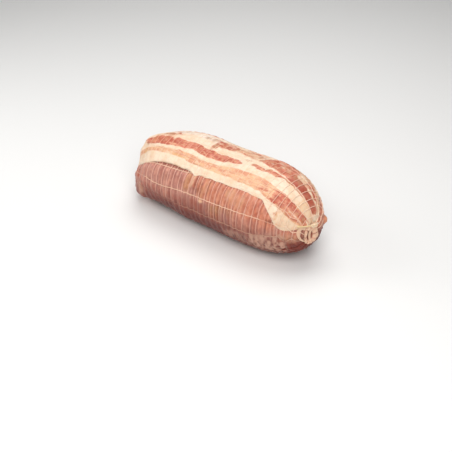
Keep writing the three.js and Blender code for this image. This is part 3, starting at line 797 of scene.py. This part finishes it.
def linePiece(name, lines, attributes, loops=()):  # loops: numbers of the lines that close on themselves
    mesh = bpy.data.meshes.new(name + "Lines")
    edges, start = [], 0
    for number, line in enumerate(lines):
        edges += [(start + i, start + i + 1) for i in range(len(line) - 1)]
        if number in loops:
            edges.append((start + len(line) - 1, start))
        start += len(line)
    mesh.from_pydata((np.concatenate(lines) * mm).tolist(), edges, [])
    setAttributes(mesh, {key: np.concatenate(values) for key, values in attributes.items()})
    return newObject(name, mesh)


# Net

def netStainAndShade(length, angle):  # what the thread lies on, and the painted shade low on the flanks, as shares from 0 to 1
    sheet, meat = sheetMasks(length, angle), leanMasks(length, angle)
    bare = np.where(insideSheet(length, angle) > 0, 0.0, 1.0)
    start, reach = netValues["clear"]
    stainAndShade = {"bare": bare, "clear": softStep((placeAt(length) - start) / reach)}
    stainAndShade.update({key: sheet[key] * (1 - bare) for key in ("semi", "lean")})
    stainAndShade.update({key: meat[key] * bare for key in ("warm", "fat", "dark", "low", "sunk")})
    return stainAndShade


def netPoints(length, angle, lift):
    v, stainAndShade = netValues, netStainAndShade(length, angle)
    onSheet = 1 - stainAndShade["bare"]
    softness = onSheet * (1 - reliefValues["leanShare"] * stainAndShade["lean"])
    sunk = v["sink"] * onSheet * (1 - stainAndShade["clear"]) + v["sink"] * stainAndShade["sunk"]
    inside = insideSheet(length, angle)
    base = np.where(inside > 0, -rimDrop(length, inside)[1], edgeDip(length, inside))
    more, start, reach = v["endLift"]
    tight = more * softStep((placeAt(length) - start) / reach)
    height = base + reliefHeight(length, angle, softness) + lift + tight - sunk
    point, out = skinFrame(length, angle)
    points = point + out * height[..., None]
    points[..., 2] = np.maximum(points[..., 2], v["floorGap"])
    return points, out, stainAndShade


def gathered(stainsAndShade, lengthwise):  # one list for each share
    lists = {key: [stainAndShade[key] for stainAndShade in stainsAndShade] for key in stainsAndShade[0]}
    lists["lengthwise"] = [0 * stainAndShade["bare"] + flag for stainAndShade, flag in zip(stainsAndShade, lengthwise)]
    return lists


def makeNet(material):
    v = netValues
    turn = np.arange(v["ringPoints"]) * 360 / v["ringPoints"]
    stretch = np.linspace(v["farEnd"] - v["stub"], rollTotal - v["nearEnd"] + v["stub"], v["threadPoints"])
    made = [netPoints(v["farEnd"] + ringStep * number + ringShift(number, turn), turn, v["lift"]["ring"])
            for number in range(v["rings"])]
    made += [netPoints(stretch, threadAngleAt(number, stretch), v["lift"]["thread"])
             for number in range(v["threads"])]
    lines, _, stainsAndShade = zip(*made)
    lengthwise = [0.0] * v["rings"] + [1.0] * v["threads"]
    net = linePiece("netThreads", lines, gathered(stainsAndShade, lengthwise), range(v["rings"]))
    return growCord(net, v["ringRadius"], v["sides"], material)


def makeNetKnots(material):
    v, made = netValues, []
    for number in range(v["rings"]):
        for thread in range(v["threads"]):
            angle = np.array([threadAngleAt(thread, v["farEnd"] + ringStep * number)])
            length = v["farEnd"] + ringStep * number + ringShift(number, angle)
            made.append(netPoints(length, angle, v["lift"]["knot"]))
    points, outward, stainsAndShade = zip(*made)
    knots = linePiece("netKnots", points, {**gathered(stainsAndShade, [0.5] * len(points)), "outward": outward})
    shape = {"Radius": v["knotRadius"] * mm, "Flatness": v["knotFlatness"], "Material": material}
    return grow(knots, knotTree(), shape)


# Gathered ends of the net

gatherValues = {
    "near": {"radius": 11, "height": 7.5, "pleats": 9, "lean": 15, "narrow": 0.76, "offset": 0.2, "seed": 41},
    "far": {"radius": 6.3, "height": 5, "pleats": 7, "lean": 0, "narrow": 0.95, "offset": 0.05, "seed": 43},
    # from the foot of the folds over their crest to the middle: shares of the radius and height
    "reaches": (0, 0.12, 0.3, 0.46, 0.6, 0.74, 0.88, 1),
    "radii": (1.12, 1.12, 1.05, 0.95, 0.83, 0.7, 0.55, 0.24),
    "heights": (0.06, 0.36, 0.76, 0.97, 1, 0.84, 0.5, 0.34),
    "slits": ((0, 0.2, 0.5, 0.85, 1), (0.1, 0.4, 0.8, 0.9, 0.4)),  # reaches, and depths there
    "rows": 44,
    "columns": 26,  # on each fold
    "strands": 5,  # fine strands on each fold
    "strandRadius": 0.36,
    "strandReach": (0.02, 0.8, 26),  # first and last reach of a strand, and its points
    "strandSway": 0.06,
    "sides": 5,
    "loose": {  # folds that hang free beside the near gather and across its middle
        "strands": 7,
        "points": 40,
        "spread": 0.5,
        "beside": ((243, 54), (241.6, 42), (240.5, 31), (239.6, 19.5), (240.3, 7.5), (242, -4), (244, -18)),
        "reach": 0.68,
        "sag": 1.6,
    },
}


def poleFrame(isNear, values):
    tip = skinPoint(rollForm["length"] if isNear else 0.0, 0.0)
    lean = math.radians(values["lean"])
    out = np.array([(1 if isNear else -1) * math.cos(lean), -math.sin(lean), 0])
    up = np.array([0.0, 0.0, 1.0])
    return tip, out, unit(np.cross(up, out)), up


def gatherShape(isNear, values, turn, reach):  # reach: 0 at the foot of the folds, 1 in the middle
    g, seed = gatherValues, values["seed"]
    sway = 0.6 * np.sin(turn + 0.7) + 0.45 * np.sin(2 * turn + seed)  # makes folds of uneven width
    phase = values["pleats"] * turn / 2 + sway + 0.9 * reach
    fold = np.abs(np.cos(phase)) ** 0.6  # 1 on a fold, 0 in the slit beside it
    strong = 0.66 + 0.34 * np.sin(turn * 2 - 0.6) * np.sin(turn + seed)  # slits differ in depth
    slit = (1 - fold) * strong * np.interp(reach, *g["slits"])
    size = 1 + 0.05 * np.sin(turn * 2 + 1.2) + 0.05 * np.sin(3 * turn + seed) + 0.08 * np.sin(turn)
    r = values["radius"] * np.interp(reach, g["reaches"], g["radii"]) * size * (1 - 0.14 * slit)
    crest = np.interp(reach, g["reaches"], g["heights"]) * (0.9 + 0.13 * np.sin(turn + 2.2))
    h = values["height"] * (crest - 0.28 * slit)
    tip, out, east, up = poleFrame(isNear, values)
    outer = 1 - softStep((reach - 0.4) / 0.45)
    narrow = values["narrow"] - 0.2 * (1 - outer)
    across = r * np.cos(turn) * narrow * (1 + values["offset"] * np.cos(turn) * outer)
    rise = r * np.sin(turn)
    point = tip + out * h[..., None] + east * across[..., None] + up * rise[..., None]
    return point, np.clip(slit * 1.9 + softStep((reach - 0.76) / 0.14), 0, 1)


def makeGather(name, isNear, values):
    rows, columns = gatherValues["rows"], values["pleats"] * gatherValues["columns"]
    reach = np.linspace(0, 1, rows)[:, None]
    turn = np.arange(columns)[None, :] * 2 * math.pi / columns
    point, slit = gatherShape(isNear, values, *np.broadcast_arrays(turn, reach))
    core = point[-1].mean(0) + 0.25 * values["height"] * poleFrame(isNear, values)[1]
    points = np.concatenate([point.reshape(-1, 3), [point[0].mean(0), core]])
    return newPiece(name, points, tubeFaces(rows, columns), {"deep": np.append(slit.ravel(), [1.0, 0.4])})


def looseFolds(values):
    v = gatherValues["loose"]
    out, east = poleFrame(True, values)[1:3]
    route = smoothLine(v["beside"], v["points"])
    taper = np.sin(np.linspace(0.3, math.pi - 0.2, v["points"]))  # the strands draw together at its ends
    lines = []
    for number in range(v["strands"]):
        side = v["spread"] * (number - (v["strands"] - 1) / 2)
        beside = lengthAt(route[:, 0]) + side * taper
        lines.append(netPoints(beside, route[:, 1], 0.7 + 0.4 * math.sin(2.1 * number))[0])
        ends = [gatherShape(True, values, np.array(turn), np.array(v["reach"]))[0]
                for turn in (1.5 + 0.12 * side, -1.75 - 0.12 * side)]
        middle = (ends[0] + ends[1]) / 2 - out * (v["sag"] + 0.3 * math.sin(1.7 * number))
        lines.append(smoothLine([ends[0], middle - east * (0.4 + 0.22 * side), ends[1]], 24))
    return lines


def makeGatherStrands(name, isNear, values, material):
    lines, deepness = [], []
    v = gatherValues
    reach = np.linspace(*v["strandReach"])
    count = values["pleats"] * v["strands"]
    for number in range(count):
        turn = 2 * math.pi * number / count + v["strandSway"] * np.sin(reach * 9 + number)
        point, slit = gatherShape(isNear, values, turn, reach)
        lines.append(point)
        deepness.append(slit)
    for line in looseFolds(values) if isNear else []:
        lines.append(line)
        deepness.append(0 * line[:, 0])
    strands = linePiece(name, lines, {"lean": deepness, "semi": [0.6 + 0 * slit for slit in deepness]})
    return growCord(strands, v["strandRadius"], v["sides"], material)


# String that ties the near end

stringValues = {
    "radius": 0.75,
    "plies": 2,
    "plyRadius": 0.42,
    "plyPitch": 3.4,
    "knotRadius": 2.5,
    "sides": 7,
    "points": 90,
    # from the middle of the near gather: to the back, up, and out of the roll
    "route": ((4.8, 14, 7.6), (-2.5, 15.2, 7), (-9, 16.3, 5.8), (-15, 17.5, 3.8), (-17.5, 18.4, 2.6)),
}


def smoothLine(points, count):  # Catmull-Rom through the points
    points = np.array(points, float)
    padded = np.concatenate([[2 * points[0] - points[1]], points, [2 * points[-1] - points[-2]]])
    t = np.linspace(0, len(points) - 1.0001, count)
    i = np.floor(t).astype(int)
    s = (t - i)[:, None]
    a, b, c, d = padded[i], padded[i + 1], padded[i + 2], padded[i + 3]
    bend = (2 * a - 5 * b + 4 * c - d) * s ** 2 + (3 * b - a - 3 * c + d) * s ** 3
    return 0.5 * (2 * b + (c - a) * s + bend)


def plies(line):  # twisted strands round a line
    v = stringValues
    forward = unit(np.gradient(line, axis=0))
    side = unit(np.cross(forward, np.array([0.2, 0.1, 1.0])))
    over = np.cross(forward, side)
    run = np.concatenate([[0], np.cumsum(np.linalg.norm(np.diff(line, axis=0), axis=1))])
    offset = v["radius"] - v["plyRadius"]
    strands = []
    for number in range(v["plies"]):
        turn = 2 * math.pi * (run / v["plyPitch"] + number / v["plies"])
        strands.append(line + offset * (side * np.cos(turn)[:, None] + over * np.sin(turn)[:, None]))
    return strands


def makeString(material):
    v = stringValues
    tip, out, east, up = poleFrame(True, gatherValues["near"])

    def near(across, rise, lift):  # a point in the measures of the route
        return tip + east * across + up * rise + out * lift

    route = [near(*step) for step in v["route"]]
    tail = plies(smoothLine(route, v["points"]))
    t = np.linspace(0, 2 * math.pi, v["points"])
    trefoil = (np.sin(t) + 2 * np.sin(2 * t), np.cos(t) - 2 * np.cos(2 * t), -1.6 * np.sin(3 * t))
    wide, high, deep = (part[:, None] * v["knotRadius"] / 3 for part in trefoil)
    knot = wide * east * 1.25 + high * up + deep * out * 0.7
    loops = plies(route[0] + knot) + plies(route[0] - east * 3.6 + up * 0.3 + out * 0.2 + knot[::-1] * 0.8)
    loops += plies(smoothLine([route[0], near(4.2, 12.6, 5.2), near(3.2, 10.5, 3.4)], 30))
    inKnot = [0.0 * strand[:, 0] for strand in tail] + [0.0 * strand[:, 0] + 1 for strand in loops]
    piece = linePiece("tieString", tail + loops, {"knot": inKnot})
    return growCord(piece, v["plyRadius"], v["sides"], material)


# Materials

def colour(hexText):  # sRGB hex to linear
    channels = [int(hexText[i:i + 2], 16) / 255 for i in (1, 3, 5)]
    return tuple(c / 12.92 if c <= 0.04045 else ((c + 0.055) / 1.055) ** 2.4 for c in channels) + (1.0,)


def palette(table):
    return {name: colour(hexText) for name, hexText in table.items()}


def newMaterial(name):
    material = bpy.data.materials.new(name)
    material.use_nodes = True
    material.node_tree.nodes.clear()
    return material, material.node_tree


def mask(tree, name):
    return addNode(tree, "ShaderNodeAttribute", attribute_name=name).outputs["Fac"]


def noise(tree, size, stretch=(1, 1, 1), detail=3.0):  # size in millimetres, stretch makes grain
    place = addNode(tree, "ShaderNodeTexCoord").outputs["Object"]
    scaled = addNode(tree, "ShaderNodeMapping", {"Vector": place, "Scale": stretch})
    inputs = {"Vector": scaled.outputs[0], "Scale": 1000 / size, "Detail": detail}
    return addNode(tree, "ShaderNodeTexNoise", inputs).outputs["Fac"]


def ramp(tree, value, low, high):
    made = addNode(tree, "ShaderNodeMapRange",
                   {"Value": value, "From Min": low, "From Max": high}, interpolation_type="SMOOTHSTEP")
    return made.outputs["Result"]


def blend(tree, amount, first, second, way="MIX"):
    node = addNode(tree, "ShaderNodeMix", {0: amount, 6: first, 7: second}, data_type="RGBA", blend_type=way)
    return node.outputs[2]


def maths(tree, operation, first, second):
    return addNode(tree, "ShaderNodeMath", {0: first, 1: second}, operation=operation).outputs[0]


def bump(tree, height, depth):
    return addNode(tree, "ShaderNodeBump", {"Height": height, "Distance": depth * mm}).outputs["Normal"]


# lays rows of (amount or its mask's name, share, colour, way to blend) over the base
def layers(tree, base, rows):
    for amount, share, over, *way in rows:
        amount = mask(tree, amount) if isinstance(amount, str) else amount
        base = blend(tree, maths(tree, "MULTIPLY", amount, share), base, over, *way)
    return base


def endMaterial(material, base, finish, height=None, depth=0):
    tree, inputs = material.node_tree, {"Base Color": base, **finish}
    if height is not None:
        inputs["Normal"] = bump(tree, height, depth)
    shader = addNode(tree, "ShaderNodeBsdfPrincipled", inputs)
    addNode(tree, "ShaderNodeOutputMaterial", {"Surface": shader.outputs["BSDF"]})
    return material


# white is both a whiter fat and the colour of the painted highlight on the far top
bellyColours = {
    "fat": "#F6DFC5", "fatShade": "#F0CEAD", "semi": "#EDBE96", "semiPink": "#DF9C7C", "lean": "#DC8A70",
    "leanDeep": "#C2634B", "deep": "#A24430", "tan": "#E0AC78", "brownAndShade": "#BC8A68", "whiteAndHighlight": "#FBEADB",
    "blotch": "#EFC4A4"}
bellyFinish = {
    "IOR": 1.45, "Subsurface Weight": 0.15, "Subsurface Radius": (0.002, 0.0012, 0.0008),
    "Subsurface Scale": 1.0, "Coat Weight": 0.12, "Coat Roughness": 0.35}


def streakyBelly():  # raw belly: waxy pale fat with moist streaks of lean
    material, tree = newMaterial("rawStreakyBelly")
    c = palette(bellyColours)
    grain = noise(tree, 4.5, (0.3, 1, 1))  # streaks 4.5 mm apart, drawn out along the roll
    fine = noise(tree, 1.7, (0.45, 1, 1), 4.0)
    flecks = ramp(tree, noise(tree, 2.6, (0.5, 1, 1)), 0.52, 0.64)
    blotches = ramp(tree, noise(tree, 3, (0.6, 1, 1), 4.0), 0.5, 0.64)
    spots = ramp(tree, noise(tree, 3.4, (0.7, 1, 1), 4.0), 0.54, 0.66)
    ragged = maths(tree, "MULTIPLY", maths(tree, "SUBTRACT", grain, 0.5), 1.2)
    semiEdge = ramp(tree, maths(tree, "ADD", mask(tree, "semi"), ragged), 0.15, 0.8)
    leanEdge = ramp(tree, maths(tree, "ADD", mask(tree, "lean"), ragged), 0.1, 0.75)
    # the white layer is partly a painted highlight along the far top of the sheet
    fat = layers(tree, c["fat"], (
        (ramp(tree, noise(tree, 12), 0.4, 0.75), 1, c["fatShade"]), ("whiteAndHighlight", 1, c["whiteAndHighlight"]),
        (blotches, 0.45, c["blotch"])))
    semi = layers(tree, c["semi"], (
        (ramp(tree, grain, 0.4, 0.62), 1, c["semiPink"]), (flecks, 0.75, c["fatShade"]),
        (spots, 0.5, c["tan"])))
    lean = layers(tree, c["lean"], (
        (ramp(tree, grain, 0.38, 0.62), 1, c["leanDeep"]), (flecks, 0.55, c["semi"]),
        (spots, 0.3, c["tan"])))
    base = layers(tree, fat, (
        (semiEdge, 1, semi), (leanEdge, 1, lean), ("deep", 0.75, c["deep"]), ("tan", 0.8, c["tan"]),
        ("brownAndShade", 0.8, c["brownAndShade"]), ("cream", 1, fat)))
    return endMaterial(material, base, {"Roughness": ramp(tree, fine, -0.6, 1.4), **bellyFinish}, fine, 0.25)


# low is the colour of the painted shade low on the flanks; stripe and light give painted shade and painted
# highlight on the fine folds and also tint random patches; dark serves dark marks and painted shade
leanColours = {
    "mauve": "#C68777", "salmon": "#D58465", "red": "#C25A40", "tan": "#B97E50", "dark": "#874936",
    "low": "#975947", "fat": "#CC9E87", "pale": "#F0C098", "tag": "#EBA27C", "speck": "#E2AC98",
    "stripe": "#954C3C", "light": "#EBAF93"}
leanFinish = {
    "IOR": 1.4, "Subsurface Weight": 0.12, "Subsurface Radius": (0.002, 0.001, 0.0007),
    "Subsurface Scale": 1.0, "Coat Weight": 0.15, "Coat Roughness": 0.3}


def rawLeanMeat():  # raw poultry lean: satin, moist, fine fibres
    material, tree = newMaterial("rawLeanMeat")
    c = palette(leanColours)
    fibre = noise(tree, 2.0, (1, 0.35, 0.35), 5.0)  # fibres run round the roll
    patches = noise(tree, 3.6, (1, 0.6, 0.6), 4.0)
    # stripe and light lay painted shade and painted highlight on the fine folds, and the crease layer lays
    # painted shade along the rings
    base = layers(tree, c["mauve"], (
        ("warm", 1, c["salmon"]), ("tan", 1, c["tan"]), ("red", 1, c["red"]), ("stripe", 0.5, c["stripe"]),
        ("light", 0.4, c["light"]), ("creaseShade", 0.25, c["stripe"]),
        (ramp(tree, fibre, 0.52, 0.72), 0.45, c["speck"]),
        (ramp(tree, patches, 0.52, 0.66), 0.3, c["stripe"]),
        (ramp(tree, patches, 0.47, 0.34), 0.3, c["light"]),
        ("dark", 0.8, c["dark"]), ("low", 1, c["low"], "MULTIPLY"),  # dark marks, partly painted shade, then painted shade, darker low down
        ("fat", 1, c["fat"]), ("pale", 1, c["pale"]), ("tag", 1, c["tag"])))
    return endMaterial(material, base, {"Roughness": ramp(tree, fibre, -0.5, 1.6), **leanFinish}, fibre, 0.3)


threadColours = {
    "overFat": "#F3D7BD", "overSemi": "#EDBF9C", "overLean": "#E29C82", "overTip": "#EDB79F",
    "overBare": "#E9B8A4", "alongBare": "#F4CDB0", "deep": "#A4604C", "fold": "#DFAF8E",
    "string": "#F2D9A6", "stringShade": "#DFC088", "knot": "#F7DFC6"}
threadFinish = {"Roughness": 0.6, "Sheen Weight": 0.1}
stringFinish = {"Roughness": 0.75, "Sheen Weight": 0.15}


def elasticThread():  # covered elastic thread, damp, stained by the lean under it and darkened by painted shade low on the flanks
    material, tree = newMaterial("dampElasticThread")
    c, meat = palette(threadColours), palette(leanColours)
    lean = layers(tree, c["overLean"], [("clear", 1, c["overTip"])])
    under = layers(tree, meat["mauve"], (("warm", 1, meat["salmon"]), ("dark", 0.5, meat["dark"])))
    # the low layer darkens the threads with painted shade low on the flanks
    bare = layers(tree, c["overBare"], (
        ("lengthwise", 1, c["alongBare"]), ("sunk", 0.8, under), ("low", 1, meat["low"], "MULTIPLY"),
        ("fat", 1, meat["fat"])))
    base = layers(tree, c["overFat"], (("semi", 1, c["overSemi"]), ("lean", 1, lean), ("bare", 1, bare)))
    return endMaterial(material, base, threadFinish, noise(tree, 0.8), 0.15)


def gatheredNet():  # bunched net, pale on the folds and dark red where the meat shows between them
    material, tree = newMaterial("gatheredNet")
    c, streaks = palette(threadColours), noise(tree, 1.2)
    base = layers(tree, c["overFat"], (
        (ramp(tree, streaks, 0.35, 0.7), 1, c["fold"]),
        (ramp(tree, mask(tree, "deep"), 0.35, 0.8), 1, c["deep"])))
    return endMaterial(material, base, {"Roughness": 0.6}, streaks, 0.3)


def cottonString():  # twisted cotton string, damp
    material, tree = newMaterial("dampCottonString")
    c, fluff = palette(threadColours), noise(tree, 0.7)
    shade = ramp(tree, fluff, 0.4, 0.75)
    base = layers(tree, c["string"], (("knot", 1, c["knot"]), (shade, 1, c["stringShade"])))
    return endMaterial(material, base, stringFinish, fluff, 0.1)


# Camera, light and floor

cameraValues = {"place": (523.6, -682.5, 614.6), "pitch": 35.9, "turn": 37.92, "lens": 71.44, "sensor": 36}
lightValues = (
    {"name": "overhead", "place": (-100, 250, 900), "size": 900, "power": 5.1, "aim": (0, 0, 40)},
    {"name": "front", "place": (470, -500, 760), "size": 700, "power": 6.3, "aim": (0, 0, 40)},
    {"name": "left", "place": (-620, -380, 460), "size": 500, "power": 1.9, "aim": (-60, 0, 50)},
)
worldValues = {"colour": "#F4F4F4", "strength": 0.14}
floorValues = {"halfSize": 4000, "colour": "#F6F5F3", "roughness": 0.8}


def makeCamera():
    v = cameraValues
    data = bpy.data.cameras.new("camera")
    data.lens = v["lens"]
    data.sensor_width = v["sensor"]
    data.clip_start = 10 * mm
    camera = newObject("camera", data)
    camera.location = [value * mm for value in v["place"]]
    camera.rotation_euler = (math.radians(90 - v["pitch"]), 0, math.radians(v["turn"]))
    bpy.context.scene.camera = camera


def makeLights():
    for v in lightValues:
        data = bpy.data.lights.new(v["name"], "AREA")
        data.shape = "DISK"
        data.size = v["size"] * mm
        data.energy = v["power"]
        light = newObject(v["name"], data)
        light.location = [value * mm for value in v["place"]]
        away = np.array(v["place"], float) - np.array(v["aim"], float)
        pitch = math.acos(away[2] / np.linalg.norm(away))
        light.rotation_euler = (pitch, 0, math.atan2(away[1], away[0]) + math.pi / 2)
    world = bpy.data.worlds.new("studio")
    world.use_nodes = True
    background = world.node_tree.nodes["Background"]
    background.inputs["Color"].default_value = colour(worldValues["colour"])
    background.inputs["Strength"].default_value = worldValues["strength"]
    bpy.context.scene.world = world
    bpy.context.scene.view_settings.view_transform = "Standard"


def makeFloor():
    size = floorValues["halfSize"]
    corners = np.array([(-size, -size, 0), (size, -size, 0), (size, size, 0), (-size, size, 0)], float)
    floor = newPiece("floor", corners, [(0, 1, 2, 3)], {})
    finish = {"Roughness": floorValues["roughness"]}
    material = newMaterial("paleFloor")[0]
    floor.data.materials.append(endMaterial(material, colour(floorValues["colour"]), finish))


def settle(piece, node, material=None):
    if material:
        piece.data.materials.append(material)
    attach(piece, "root")
    if node:
        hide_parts(node)


makeCamera()
makeLights()
makeFloor()
print("camera, light and floor set")

settle(makeLeanMeat(), "meat_roll", rawLeanMeat())
print("lean meat made")
settle(makeBellySheet(), "belly_sheet", streakyBelly())
print("belly sheet made")

thread = elasticThread()
settle(makeNet(thread), "net")
settle(makeNetKnots(thread), None)
print("net made")

bunched = gatheredNet()
for isNear, end, node in ((True, "near", "net_gather_near"), (False, "far", "net_gather_far")):
    values = gatherValues[end]
    settle(makeGather(end + "Gather", isNear, values), node, bunched)
    settle(makeGatherStrands(end + "GatherStrands", isNear, values, thread), None)
settle(makeString(cottonString()), "tie_string")
print("ends and string made")
